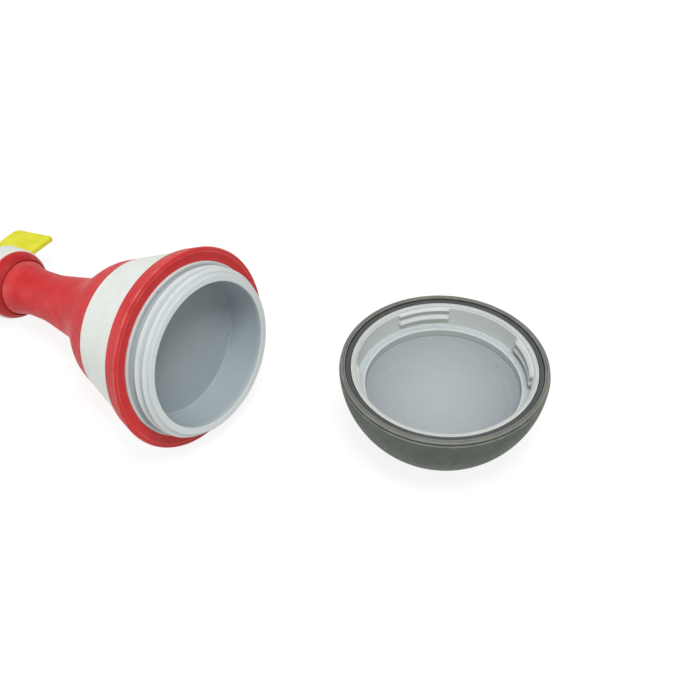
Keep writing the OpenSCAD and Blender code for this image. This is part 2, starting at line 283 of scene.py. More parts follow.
def ball_arc(radius, centre, z0, z1, count):
    """Points on a ball about the axis, from height z0 to z1."""
    a0 = math.acos(max(-1.0, min(1.0, (centre - z0) / radius)))
    a1 = math.acos(max(-1.0, min(1.0, (centre - z1) / radius)))
    angles = [mix(a0, a1, i / count) for i in range(count + 1)]
    return [(radius * math.sin(a), centre - radius * math.cos(a)) for a in angles]


# Meshes

def keep_place(mesh, to_body):
    """Stores each point's place in its body's own frame, for the materials."""
    layer = mesh.attributes.new("place", "FLOAT_VECTOR", "POINT")
    for v, item in zip(mesh.vertices, layer.data):
        item.vector = to_body @ v.co


def finish_mesh(bm, name, matrix, material):
    bmesh.ops.remove_doubles(bm, verts=bm.verts, dist=MERGE_DIST)
    bmesh.ops.recalc_face_normals(bm, faces=bm.faces)
    mesh = bpy.data.meshes.new(name)
    bm.to_mesh(mesh)
    bm.free()
    for p in mesh.polygons:
        p.use_smooth = True
    mesh.materials.append(material)
    keep_place(mesh, Matrix.Identity(4))
    mesh.transform(matrix)
    obj = bpy.data.objects.new(name, mesh)
    bpy.context.scene.collection.objects.link(obj)
    return obj


def add_lathe(bm, profile, segments=SEGMENTS, warp=None):
    """Turns a closed outline about Z. warp moves a point of radius, height and angle a little."""
    wear = bm.verts.layers.float.get("wear") or bm.verts.layers.float.new("wear")
    rings = []
    for r, z, w in profile:
        if r < AXIS_R:
            v = bm.verts.new((0, 0, z * MM))
            v[wear] = w
            rings.append([v])
            continue
        ring = []
        for k in range(segments):
            a = 2 * math.pi * k / segments
            rr, zz = warp(r, z, a) if warp else (r, z)
            v = bm.verts.new((rr * math.cos(a) * MM, rr * math.sin(a) * MM, zz * MM))
            v[wear] = w
            ring.append(v)
        rings.append(ring)
    for i, low in enumerate(rings):
        top = rings[(i + 1) % len(rings)]
        if len(low) == 1 and len(top) == 1:
            continue
        for k in range(segments):
            n = (k + 1) % segments
            if len(low) == 1:
                bm.faces.new((low[0], top[k], top[n]))
            elif len(top) == 1:
                bm.faces.new((low[k], low[n], top[0]))
            else:
                bm.faces.new((low[k], low[n], top[n], top[k]))


def add_sweep(bm, sections):
    """Closed tube through a list of sections of equal length, with flat ends."""
    wear = bm.verts.layers.float.get("wear") or bm.verts.layers.float.new("wear")
    loops = []
    for section in sections:
        loop = []
        for p, w in section:
            v = bm.verts.new(Vector(p) * MM)
            v[wear] = w
            loop.append(v)
        loops.append(loop)
    for low, top in zip(loops, loops[1:]):
        for k in range(len(low)):
            n = (k + 1) % len(low)
            bm.faces.new((low[k], low[n], top[n], top[k]))
    bm.faces.new(loops[0])
    bm.faces.new(loops[-1])


def turned(name, profile, matrix, material, warp=None, segments=SEGMENTS):
    bm = bmesh.new()
    add_lathe(bm, profile, segments, warp)
    return finish_mesh(bm, name, matrix, material)


def dress(obj, body, node):
    """A piece that rides on a body, in place of a CAD node."""
    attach(obj, body)
    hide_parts(node)


# Materials

def linear(code):
    """Linear colour of a hex code."""
    parts = [int(code[i:i + 2], 16) / 255 for i in (1, 3, 5)]
    return tuple(c / 12.92 if c <= 0.04045 else ((c + 0.055) / 1.055) ** 2.4 for c in parts) + (1.0,)


# Half the width of the change from one tint to the next, in millimetres
TINT_EDGE = 0.1


class Nodes:
    """Short calls to build a node tree round one Principled shader."""

    def __init__(self, name, carried=False):
        self.material = bpy.data.materials.new(name)
        self.material.use_nodes = True
        self.tree = self.material.node_tree
        self.shader = self.tree.nodes["Principled BSDF"]
        if carried:
            self.place = self.tree.nodes.new("ShaderNodeTexCoord").outputs["Object"]
        else:
            self.place = self.node("ShaderNodeAttribute", attribute_name="place").outputs["Vector"]

    def node(self, kind, inputs=(), **values):
        n = self.tree.nodes.new(kind)
        for key, value in values.items():
            setattr(n, key, value)
        for key, value in dict(inputs).items():
            if isinstance(value, bpy.types.NodeSocket):
                self.tree.links.new(value, n.inputs[key])
            else:
                n.inputs[key].default_value = value
        return n

    def stretched(self, scale):
        return self.node("ShaderNodeMapping", {"Vector": self.place, "Scale": scale}).outputs["Vector"]

    def noise(self, scale, detail=3.0, rough=0.55, vector=None):
        return self.node("ShaderNodeTexNoise", {
            "Vector": vector or self.place, "Scale": scale, "Detail": detail, "Roughness": rough,
        }).outputs["Fac"]

    def span(self, value, low, high, to_low=0.0, to_high=1.0):
        return self.node("ShaderNodeMapRange", {
            "Value": value, "From Min": low, "From Max": high, "To Min": to_low, "To Max": to_high,
        }, interpolation_type="SMOOTHSTEP").outputs["Result"]

    def math(self, operation, a, b):
        return self.node("ShaderNodeMath", {0: a, 1: b}, operation=operation).outputs["Value"]

    def part(self, value, share):
        return self.math("MULTIPLY", value, share)

    def blend(self, factor, a, b):
        n = self.node("ShaderNodeMix", data_type="RGBA")
        for socket, value in ((n.inputs["Factor"], factor), (n.inputs[6], a), (n.inputs[7], b)):
            if isinstance(value, bpy.types.NodeSocket):
                self.tree.links.new(value, socket)
            else:
                socket.default_value = value
        return n.outputs[2]

    # Pale edges: partly wear, partly painted highlight
    def edges(self):
        wear = self.node("ShaderNodeAttribute", attribute_name="wear").outputs["Fac"]
        return self.math("MAXIMUM", wear, 0.0)

    # Painted shade in creases
    def painted_crease_shade(self):
        wear = self.node("ShaderNodeAttribute", attribute_name="wear").outputs["Fac"]
        return self.math("MAXIMUM", self.math("MULTIPLY", wear, -1.0), 0.0)

    def spot(self, centre, radius):
        """One inside a small ball at a place in millimetres."""
        inputs = {0: self.place, 1: Vector(centre) * MM}
        far = self.node("ShaderNodeVectorMath", inputs, operation="DISTANCE").outputs["Value"]
        return self.span(far, radius * MM, 0.5 * radius * MM)

    def radius(self):
        """Distance from the body's axis."""
        inputs = {0: self.place, 1: (1.0, 1.0, 0.0)}
        flat = self.node("ShaderNodeVectorMath", inputs, operation="MULTIPLY").outputs["Vector"]
        return self.node("ShaderNodeVectorMath", {0: flat}, operation="LENGTH").outputs["Value"]

    def height(self):
        """Distance along the body's axis."""
        return self.node("ShaderNodeSeparateXYZ", {"Vector": self.place}).outputs["Z"]

    def tinted(self, base, tints):
        """Base colour with tints: each has the height or radius in millimetres below which it takes over."""
        for axis, level, tint in tints:
            value = self.height() if axis == "height" else self.radius()
            share = self.span(value, (level + TINT_EDGE) * MM, (level - TINT_EDGE) * MM)
            base = self.blend(share, base, tint)
        return base

    def bump(self, height, strength, distance, normal=None):
        inputs = {"Height": height, "Strength": strength, "Distance": distance}
        if normal:
            inputs["Normal"] = normal
        return self.node("ShaderNodeBump", inputs).outputs["Normal"]

    def link(self, socket, value):
        self.tree.links.new(value, self.shader.inputs[socket])

    def set(self, socket, value):
        self.shader.inputs[socket].default_value = value


# How much of each effect shows in the materials
MATTE_SPECULAR = 0.2
SHEEN_ROUGH = 0.35
RUBBER_FLECKS = 0.22
RUBBER_STREAKS = 0.3
# Painted shade in rubber creases: how much shows and how dark it is
RUBBER_CREASES = 0.7
RUBBER_SHADE = 0.4
RUBBER_ROUGH_SPREAD = 0.07
PLASTIC_DRAG = 0.06
# Pale plastic edges, partly wear and partly painted highlight, and painted shade in plastic creases
PLASTIC_EDGE_WEAR_AND_HIGHLIGHT = 0.5
PLASTIC_CREASES = 0.6
PLASTIC_MARKS = 0.7
PLASTIC_ROUGH_SPREAD = 0.06
# Colour of the painted shade in plastic creases
PLASTIC_SHADE = linear("#7d8a90")
MARK_GREY = linear("#4a4c4e")
FOAM_ROUGH = 0.9

# Marks in the moulding direction are longer round the axis than along it
STREAK_STRETCH = (1.0, 1.0, 6.0)
DRAG_STRETCH = (1.0, 1.0, 14.0)


def rubber(name, colour, deep, pale, rough, sheen, grain=0.25, edge_wear_and_highlight=0.45, tints=()):
    """Matte moulded rubber: cloudy colour, pale scuffs, a fine grain, pale edges that are partly wear and
    partly painted highlight, and painted shade in creases.
    """
    n = Nodes(name)
    shade = tuple(RUBBER_SHADE * c for c in deep[:3]) + (1.0,)
    clouds = n.noise(scale=90.0, detail=4.0, rough=0.6)
    flecks = n.noise(scale=520.0, detail=3.0, rough=0.6)
    streaks = n.noise(scale=70.0, detail=4.0, rough=0.7, vector=n.stretched(STREAK_STRETCH))
    fine = n.noise(scale=3200.0, detail=2.0, rough=0.6)
    base = n.tinted(n.blend(n.span(clouds, 0.36, 0.66), deep, colour), tints)
    base = n.blend(n.part(n.span(flecks, 0.5, 0.75), RUBBER_FLECKS), base, deep)
    base = n.blend(n.part(n.span(streaks, 0.6, 0.78), RUBBER_STREAKS), base, pale)
    patchy = n.span(n.noise(scale=160.0, detail=3.0), 0.3, 0.7, to_low=0.3, to_high=1.0)
    base = n.blend(n.part(n.part(n.edges(), patchy), edge_wear_and_highlight), base, pale)
    base = n.blend(n.part(n.painted_crease_shade(), RUBBER_CREASES), base, shade)
    n.link("Base Color", base)
    spread = RUBBER_ROUGH_SPREAD
    n.link("Roughness", n.span(flecks, 0.3, 0.7, to_low=rough - spread, to_high=rough + spread))
    n.set("Specular IOR Level", MATTE_SPECULAR)
    n.set("Sheen Weight", sheen)
    n.set("Sheen Roughness", SHEEN_ROUGH)
    soft = n.bump(clouds, strength=0.25, distance=0.0006)
    n.link("Normal", n.bump(fine, strength=grain, distance=0.00012, normal=soft))
    return n.material


def plastic(name, colour, deep, pale, rough, tints=(), marks=(), carried=False):
    """Satin moulded plastic: faint clouds, fine drag lines, soft pale edges that are partly wear and partly
    painted highlight, painted shade in creases and a few dark marks.
    """
    n = Nodes(name, carried)
    clouds = n.noise(scale=60.0, detail=3.0)
    fine = n.noise(scale=2400.0, detail=2.0)
    drag = n.noise(scale=45.0, detail=3.0, rough=0.6, vector=n.stretched(DRAG_STRETCH))
    base = n.tinted(n.blend(n.span(clouds, 0.35, 0.65), deep, colour), tints)
    base = n.blend(n.part(n.span(drag, 0.5, 0.7), PLASTIC_DRAG), base, pale)
    base = n.blend(n.part(n.edges(), PLASTIC_EDGE_WEAR_AND_HIGHLIGHT), base, pale)
    base = n.blend(n.part(n.painted_crease_shade(), PLASTIC_CREASES), base, PLASTIC_SHADE)
    for centre, radius in marks:
        base = n.blend(n.part(n.spot(centre, radius), PLASTIC_MARKS), base, MARK_GREY)
    n.link("Base Color", base)
    spread = PLASTIC_ROUGH_SPREAD
    n.link("Roughness", n.span(clouds, 0.3, 0.7, to_low=rough - spread, to_high=rough + spread))
    n.set("Specular IOR Level", MATTE_SPECULAR)
    n.link("Normal", n.bump(fine, strength=0.1, distance=0.00008))
    return n.material


def foam(name):
    """Closed-cell foam with open cut cells."""
    n = Nodes(name, carried=True)
    cells = n.node("ShaderNodeTexVoronoi", {"Vector": n.place, "Scale": 900.0}).outputs["Distance"]
    n.link("Base Color", n.blend(n.span(cells, 0.1, 0.6), linear("#9c9fa3"), linear("#c9ccd0")))
    n.set("Roughness", FOAM_ROUGH)
    n.link("Normal", n.bump(cells, strength=0.6, distance=0.0004))
    return n.material


# The lighter red below the given height, on the base ring's front face, is painted light
RED = rubber(
    "red_rubber", linear("#d43033"), linear("#c8292c"), linear("#e2746d"),
    rough=0.5, sheen=0.02, edge_wear_and_highlight=0.7, tints=[("height", BASE_FRONT - 0.1, linear("#d63436"))]
)
WHITE = rubber(
    "white_rubber", linear("#edf2ed"), linear("#e6ece5"), linear("#f2f5f2"),
    rough=0.55, sheen=0.0, grain=0.15
)
YELLOW = rubber(
    "yellow_rubber", linear("#efee42"), linear("#e6e32f"), linear("#f1ef7c"),
    rough=0.5, sheen=0.02, grain=0.15
)
DARK = rubber(
    "dark_rubber", linear("#636b62"), linear("#596058"), linear("#8d938a"),
    rough=0.6, sheen=0.04, edge_wear_and_highlight=0.9
)
RIM = rubber(
    "rim_rubber", linear("#7e8079"), linear("#72746c"), linear("#999a93"),
    rough=0.55, sheen=0.04
)
SEAL = rubber(
    "seal_rubber", linear("#525556"), linear("#4a4d4d"), linear("#646766"),
    rough=0.6, sheen=0.03, grain=0.4
)

# Small dark marks: place in millimetres and radius
CUP_MARKS = [((25.7, 17.2, 18.0), 0.6), ((-5.47, -36.6, 8.9), 0.35), ((-5.55, -37.3, 9.0), 0.3)]
CUP = plastic(
    "cup_plastic", linear("#d8dfde"), linear("#d1d8d8"), linear("#e3e8e8"), rough=0.45,
    # Tints: painted shade in the thread's valleys, painted light on the lip's face and painted shade inside
    # the cup
    tints=[
        ("radius", COLLAR_R + 0.2, linear("#c3cfd1")), ("radius", COLLAR_R - 0.3, linear("#dde4e3")),
        ("radius", MOUTH_R, linear("#a8b3b7")),
    ],
    marks=CUP_MARKS
)
LINER_MARKS = [((18.8, 30.6, LEDGE_TOP), 0.45), ((25.6, 17.6, 20.9), 0.45)]
LINER = plastic(
    "liner_plastic", linear("#c6cbc6"), linear("#bec4be"), linear("#eaeef0"), rough=0.5,
    # Tints: painted light on the wall, and painted shade that makes the ledge and the bowl darker and bluer
    tints=[
        ("radius", WALL_R + 0.2, linear("#dfe3de")), ("radius", WALL_R - 0.2, linear("#c6cbc6")),
        ("height", LEDGE_TOP + 0.3, linear("#bec6c8")), ("height", LEDGE_TOP - 0.5, linear("#c6cac4")),
        ("height", BOWL_TOP, linear("#afb6ba")),
    ],
    marks=LINER_MARKS
)
TUBE = plastic(
    "tube_plastic", linear("#c3cbcd"), linear("#b8c1c4"), linear("#d6dbdb"), rough=0.45, carried=True
)
FOAM = foam("float_foam")


# Body

# The thread's ridge in section: height above the collar, distance along the axis and wear with painted
# light (a pale crest, painted shade at its feet), from the mouth's side. It climbs gently from the mouth
# and falls steeply towards the base ring.
THREAD_SHAPE = [
    (-0.4, -1.1, 0.0), (0.0, -1.0, -0.3), (0.3, -0.8, -0.1), (0.85, -0.45, 0.0),
    (1.3, -0.12, 0.5), (1.47, 0.12, 1.0), (1.5, 0.36, 1.0), (1.4, 0.58, 0.6),
    (1.05, 0.76, 0.0), (0.45, 0.92, -0.3), (0.0, 1.15, -0.6), (-0.4, 1.3, 0.0),
]
# How far its ends sink into the collar, and how far behind the mouth it is cut off flat
THREAD_SINK = 0.15
THREAD_FRONT = 0.06


def add_thread(bm):
    """Right-handed ridge. Its start runs out into the cup's rim, behind the lip."""
    lead = THREAD_LEAD / 360
    turns = THREAD_TURNS + lead
    count = round(turns * THREAD_STEPS)
    sections = []
    for i in range(count + 1):
        along = 360 * turns * i / count
        height = smooth(min(along / THREAD_LEAD_FADE, (360 * turns - along) / THREAD_FADE))
        a = math.radians(along + THREAD_TURN - THREAD_LEAD)
        z = THREAD_START + THREAD_PITCH * (along / 360 - lead)
        section = []
        for x, y, wear in THREAD_SHAPE:
            r = COLLAR_R + (x if x < 0 else mix(-THREAD_SINK, x, height))
            section.append(((r * math.cos(a), r * math.sin(a), max(z + y, THREAD_FRONT)), wear * height))
        sections.append(section)
    add_sweep(bm, sections)


# The low lip of the cup's rim, a small step in front of the collar
LIP_R = 35.0
LIP_RISE = 0.5
LIP_ROUND = 0.2
# How much of the painted crease shade shows at the lip's step
LIP_CREASE = 0.5


def least_wear(r):
    """How dark the painted shade in a crease of the cup may be: full outside, fainter at the lip's step,
    none inside.
    """
    if r >= COLLAR_R:
        return -1.0
    return -LIP_CREASE if r >= LIP_R - LIP_ROUND else 0.0


def cup():
    floor_r = MOUTH_R - CUP_DRAFT
    step_z = COLLAR_H - SHOULDER_SHOW
    seat_z = COLLAR_H + SHOULDER_DEEP
    profile = rounded([
        (0, CUP_BACK, 0), (0, CUP_DEPTH, 0), (floor_r, CUP_DEPTH, CUP_FLOOR_ROUND),
        (MOUTH_R, -LIP_RISE, CUP_RIM_ROUND), (LIP_R, -LIP_RISE, LIP_ROUND), (LIP_R, 0, LIP_ROUND),
        (COLLAR_R, 0, CUP_RIM_ROUND), (COLLAR_R, step_z, COLLAR_ROOT_ROUND),
        (SHOULDER_R, step_z, SHOULDER_ROUND),
        (SHOULDER_R, seat_z, 0), (COLLAR_R, seat_z, 0), (COLLAR_R, CUP_BACK, 0),
    ])
    bm = bmesh.new()
    add_lathe(bm, [(r, z, max(wear, least_wear(r))) for r, z, wear in profile])
    add_thread(bm)
    return finish_mesh(bm, "cup_moulding", LAY, CUP)


# The raised line round the base ring's front, and the thin ragged edge that creeps up the cup's shoulder
CREASE_RISE = 0.12
CREASE_HALF = 0.3
CREASE_ROUND = 0.12
FLASH_RISE = 0.5
FLASH_BAND = 0.3
# Painted light: how pale the ring's front face is made, at least
FACE_PAINTED_LIGHT = 0.12

# Unevenness of the ring's outer edge: where it lies, how wide it is, and its size
UNEVEN_IN = 0.4
UNEVEN_HALF = 1.0
UNEVEN_R = 0.08
UNEVEN_R_BIAS = 0.6
UNEVEN_Z = 0.05


def base_ring():
    inner = COLLAR_R + FIT
    seat_r = SHOULDER_R + FIT
    seat_z = COLLAR_H + SHOULDER_DEEP
    crease_r = BASE_R - BASE_BEVEL
    face = COLLAR_H + CREASE_RISE

    def warp(r, z, a):
        edge = math.exp(-((r - BASE_R + UNEVEN_IN) / UNEVEN_HALF) ** 2)
        r += UNEVEN_R * edge * (wander(a, scale=3.0, seed=1.0) - UNEVEN_R_BIAS)
        if r < seat_r + FLASH_BAND and z < face + FLASH_BAND:
            ragged = max(0.0, wander(a, scale=22.0, seed=3.0) + 0.6 * wander(a, scale=60.0, seed=5.0))
            z -= FLASH_RISE * ragged * smooth(0.5 + 1.2 * wander(a, scale=2.0, seed=9.0))
        return r, z + UNEVEN_Z * edge * wander(a, scale=5.0, seed=7.0)

    profile = rounded([
        (seat_r, face, BASE_SEAT_ROUND), (crease_r - CREASE_HALF, face, 0),
        (crease_r, COLLAR_H, CREASE_ROUND), (crease_r + CREASE_HALF, face, 0),
        (BASE_R, BASE_FRONT, BASE_ROUND), (BASE_BACK_R, BAND_Z, BASE_BACK_ROUND),
        (inner, BAND_Z, 0), (inner, seat_z, 0), (seat_r, seat_z, 0),
    ])
    profile = [(r, z, max(wear, FACE_PAINTED_LIGHT) if z < BASE_FRONT else wear) for r, z, wear in profile]
    return turned("base_ring_rubber", profile, LAY, RED, warp, FINE_SEGMENTS)


def white_band():
    return turned("white_band_rubber", rounded([
        (BAND_LOW_R, BAND_Z, BAND_ROUND), (BAND_TOP_R, SKIN_Z, BAND_ROUND),
        (BAND_TOP_R - SKIN_T, SKIN_Z, 0), (BAND_LOW_R - SKIN_T, BAND_Z, 0),
    ]), LAY, WHITE)


# Next to the fold between neck and collar, painted shade darkens the collar and a painted highlight
# pales the neck; a painted highlight also pales the collar's outer edge
FOLD_SHADE = 0.8
FOLD_HIGHLIGHT = 0.8
FOLD_REACH = 7.5
RING_EDGE_HIGHLIGHT = 0.7

# Steps along the bell's outside and inside, in millimetres, and steps of the collar's swell
BELL_STEP = 0.5
BELL_INNER_STEP = 2.5
SWELL_STEPS = 16


def bell():
    outer = [
        (outline_r(z), z, FOLD_HIGHLIGHT * clamp01(1 - (RING_Z - z) / FOLD_REACH))
        for z in stations(SKIN_Z, RING_Z, BELL_STEP)
    ]
    inner = [(outline_r(z) - SKIN_T, z) for z in stations(CORE_END, SKIN_Z, BELL_INNER_STEP)]
    return turned("bell_rubber", outer + plain([(TUBE_R, RING_Z), (TUBE_R, CORE_END)] + inner), LAY, RED)


def neck_collar():
    lip_in = stem_r(RING_Z) + RING_GAP
    lip_z, swell_z = RING_Z - RING_LIP, MAST_RING_Z - RING_ROUND
    steps = [i / SWELL_STEPS for i in range(SWELL_STEPS + 1)]
    swell = [
        (lip_in + RING_WALL * math.sin(math.pi / 2 * t), mix(lip_z, swell_z, t), -FOLD_SHADE * (1 - t))
        for t in steps
    ]
    turns = [math.pi / 2 * i / ROUND_STEPS for i in range(1, ROUND_STEPS + 1)]
    middle = lip_in + RING_WALL - RING_ROUND
    edge = [
        (middle + RING_ROUND * math.cos(a), swell_z + RING_ROUND * math.sin(a), RING_EDGE_HIGHLIGHT)
        for a in turns
    ]
    lip = [(TUBE_R, RING_Z, 0.0), (lip_in, RING_Z, 0.0), (lip_in, lip_z + HOLD, -FOLD_SHADE)]
    return turned("neck_collar_rubber", lip + swell + edge + [(TUBE_R, MAST_RING_Z, 0.0)], LAY, RED)


def mast_ring():
    outer = stem_r(RING_Z) + RING_GAP + RING_WALL + MAST_RING_OUT
    return turned("mast_ring_rubber", rounded([
        (outer, MAST_RING_Z, MAST_RING_ROUND), (outer, HEAD_Z, MAST_RING_ROUND),
        (TUBE_R, HEAD_Z, 0), (TUBE_R, MAST_RING_Z, 0),
    ]), LAY, WHITE)


def baked(obj, modifiers):
    """Applies modifiers to a piece and keeps only the resulting mesh."""
    for kind, values in modifiers:
        m = obj.modifiers.new(kind.lower(), kind)
        for key, value in values.items():
            setattr(m, key, value)
    bpy.context.view_layer.update()
    mesh = bpy.data.meshes.new_from_object(obj.evaluated_get(bpy.context.evaluated_depsgraph_get()))
    obj.modifiers.clear()
    obj.data = mesh
    for p in mesh.polygons:
        p.use_smooth = True


# The head's mesh: how far its cutters stand out, steps of its dome, and how finely it is softened
OVERCUT = 1.0
HEAD_DOME_STEPS = 24
HEAD_VOXEL = 0.4
HEAD_SOFTENING = {"factor": 0.5, "iterations": 8}


def cylinder(radius, low, high, axis, place):
    """Cutting cylinder, in the body's own frame."""
    bm = bmesh.new()
    add_lathe(bm, plain([(0, low), (radius, low), (radius, high), (0, high)]), CUTTER_SEGMENTS)
    turn = Matrix.Rotation(math.pi / 2, 4, "Y") if axis == "X" else Matrix.Identity(4)
    return finish_mesh(bm, "cutter", LAY @ Matrix.Translation(Vector(place) * MM) @ turn, RED)


def head():
    """Head with its rope hole, remeshed and smoothed so that its edges are as soft as moulded rubber."""
    dome = ball_arc(HEAD_R, DOME_Z, DOME_Z, DOME_Z + HEAD_R, HEAD_DOME_STEPS)
    outline = plain([(0, HEAD_Z), (HEAD_R, HEAD_Z)] + dome)
    obj = turned("head_rubber", outline, LAY, RED, segments=HEAD_SEGMENTS)
    over = HEAD_R + OVERCUT
    cutters = [
        cylinder(TUBE_R, -OVERCUT, TUBE_DEEP, "Z", (0, 0, HEAD_Z)),
        cylinder(ROPE_HOLE_R, -over, over, "X", (0, 0, ROPE_HOLE_Z)),
        cylinder(ROPE_HOLE_R + ROPE_FLAT, ROPE_HOLE_HALF, over, "X", (0, 0, ROPE_HOLE_Z)),
        cylinder(ROPE_HOLE_R + ROPE_FLAT, -over, -ROPE_HOLE_HALF, "X", (0, 0, ROPE_HOLE_Z)),
    ]
    cuts = [("BOOLEAN", {"operation": "DIFFERENCE", "solver": "EXACT", "object": c}) for c in cutters]
    baked(obj, cuts + [
        ("REMESH", {"mode": "VOXEL", "voxel_size": HEAD_VOXEL * MM}),
        ("SMOOTH", HEAD_SOFTENING),
    ])
    for c in cutters:
        bpy.data.objects.remove(c)
    obj.data.materials.clear()
    obj.data.materials.append(RED)
    keep_place(obj.data, LAY.inverted())
    return obj


# Rounding along the flag's edges, of its far corner, and how dark the painted shade on its cut sides is
FLAG_ROUND = 0.4
FLAG_FAR_CORNER = 3.0
FLAG_SIDE_SHADE = 0.22

# Steps along the flag and round its outer edge, and distances of its sections from its ends
FLAG_STEPS = 24
FLAG_EDGE_STEPS = 6
FLAG_ENDS = [0.0, 0.08, 0.2, 0.4, 0.6, 0.8, 1.1, 1.5, 2.0]
FLAG_MIDDLE_IN = 3.0
FLAG_MIDDLE_STEP = 1.0


def corner_inset(depth, radius):
    """How far a rounded corner lies inside a square one, at a depth from its side."""
    return radius - math.sqrt(max(0.0, radius ** 2 - max(0.0, radius - depth) ** 2))


def flag_section(z):
    """Section across the flag at one station of the mast: a drooping strip with a round outer edge."""
    near, far = z - FLAG_Z, FLAG_Z + FLAG_H - z
    depth = min(near, far)
    tip = FLAG_REACH - FLAG_SLANT * near / FLAG_H
    tip -= corner_inset(near, FLAG_CORNER) + corner_inset(far, FLAG_FAR_CORNER)
    half = FLAG_T / 2 - corner_inset(depth, FLAG_ROUND)
    root = HEAD_R - FLAG_ROOT
    run = [mix(root, tip - FLAG_ROUND, i / FLAG_STEPS) for i in range(FLAG_STEPS + 1)]
    edge = [math.radians(90 - 180 * k / FLAG_EDGE_STEPS) for k in range(1, FLAG_EDGE_STEPS)]
    line = [(x, half) for x in run]
    line += [(tip - FLAG_ROUND + FLAG_ROUND * math.cos(a), half * math.sin(a)) for a in edge]
    line += [(x, -half) for x in reversed(run)]
    wear = -FLAG_SIDE_SHADE if depth < FLAG_ROUND / 2 else 0.0
    out = []
    for x, y in line:
        droop = FLAG_DROOP * clamp01((x - HEAD_R) / (FLAG_REACH - HEAD_R)) ** 2
        out.append(((x, y + droop, z), wear))
    return out


def flag():
    low, high = FLAG_Z, FLAG_Z + FLAG_H
    inside = stations(low + FLAG_MIDDLE_IN, high - FLAG_MIDDLE_IN, FLAG_MIDDLE_STEP)
    levels = [low + e for e in FLAG_ENDS] + inside + [high - e for e in reversed(FLAG_ENDS)]
    bm = bmesh.new()
    add_sweep(bm, [flag_section(z) for z in levels])
    return finish_mesh(bm, "flag_plate", LAY, YELLOW)


# Cap

# The edge of the dome's foot, inside the foot's radius and up, and where the ball's outline starts
FOOT_SHAPE = [(0.9, 0.0), (0.1, 0.08)]
FOOT_BALL_Z = 0.35
# The dome's brim under the rim: from its radius, from the rim's lower edge, and wear with a painted
# highlight on its edge
BRIM_SHAPE = [(-0.03, -0.3, 0.6), (-0.06, -0.1, 1.0), (-0.16, 0.0, 1.0)]
BRIM_BALL_IN = 0.5
DOME_STEPS = 44
DOME_INNER_STEPS = 20


def cap_dome():
    seal_low = SEAL_TOP - SEAL_H
    hollow = BOWL_BALL + LINER_WALL + FIT
    ledge_low = LEDGE_TOP - LINER_WALL
    outside = plain(ball_arc(DOME_R, CAP_H, FOOT_BALL_Z, RIM_LOW - BRIM_BALL_IN, DOME_STEPS))
    brim_r = math.sqrt(DOME_R ** 2 - (CAP_H - RIM_LOW) ** 2)
    brim = [(brim_r + x, RIM_LOW + z, wear) for x, z, wear in BRIM_SHAPE]
    inside = ball_arc(hollow, BOWL_CENTRE, ledge_low, BOWL_CENTRE - hollow, DOME_INNER_STEPS)
    wall = [(RIM_IN, RIM_LOW), (RIM_IN, seal_low), (LINER_R + FIT, seal_low), (LINER_R + FIT, ledge_low)]
    foot = [(0, 0)] + [(FOOT_R - x, z) for x, z in FOOT_SHAPE]
    profile = plain(foot) + outside + brim + plain(wall + inside)
    return turned("cap_dome", profile, Matrix.Identity(4), DARK)


# Two fine beads round the top of the rim, and the groove between its side and the dome's brim
BEAD_INNER = 42.75
BEAD_OUTER = 43.6
BEAD_GROOVE = 0.25
BEAD_ROUND = 0.15
RIM_FALL = 0.15
RIM_BEVEL = 0.25
RIM_EDGE_ROUND = 0.3
SEAM_IN = 0.6
SEAM_H = 1.0


def cap_rim():
    groove_r = (BEAD_INNER + BEAD_OUTER) / 2
    return turned("cap_rim_band", rounded([
        (RIM_IN, RIM_LOW, 0), (RIM_R - SEAM_IN, RIM_LOW, 0),
        (RIM_R - SEAM_IN, RIM_LOW + SEAM_H, RIM_EDGE_ROUND), (RIM_R, CAP_H - RIM_ROUND, RIM_EDGE_ROUND),
        (RIM_R - RIM_BEVEL, CAP_H - RIM_FALL, RIM_EDGE_ROUND), (BEAD_OUTER, CAP_H, RIM_EDGE_ROUND),
        (groove_r, CAP_H - BEAD_GROOVE, BEAD_ROUND), (BEAD_INNER, CAP_H, BEAD_ROUND),
        (RIM_IN, CAP_H - RIM_FALL, BEAD_ROUND),
    ]), Matrix.Identity(4), RIM)


def cap_seal():
    inner, outer, low = LINER_R + SEAL_GAP, RIM_IN - SEAL_GAP, SEAL_TOP - SEAL_H
    return turned("cap_seal_ring", rounded([
        (inner, low, SEAL_FOOT_ROUND), (outer, low, SEAL_FOOT_ROUND),
        (outer, SEAL_TOP, SEAL_ROUND), (inner, SEAL_TOP - SEAL_SLOPE, SEAL_ROUND),
    ]), Matrix.Identity(4), SEAL)


def lug_heights(a):
    """Heights of a lug's ridges: midway between the turns of the thread, with the cap closed."""
    z = CAP_H - COLLAR_H + THREAD_START + THREAD_PITCH * ((a - CLOSED_TURN) / 360 + 0.5)
    z -= THREAD_PITCH * math.floor((z - LEDGE_TOP) / THREAD_PITCH)
    heights = []
    while z <= LINER_TOP - LUG_FOOT / 2:
        heights.append(z)
        z += THREAD_PITCH
    return heights


# Lug ridges in section: broad slopes towards the mouth over steep undersides, lower next to the lip and
# the ledge. The slopes and tips take a painted highlight and the undersides painted shade.
LUG_SLOPE = 1.8
LUG_SLOPE_END = 0.5
LUG_TIP_END_R = 36.5
LUG_UNDER = 1.05
LUG_ROUND = 0.15
LUG_STEPS = 12


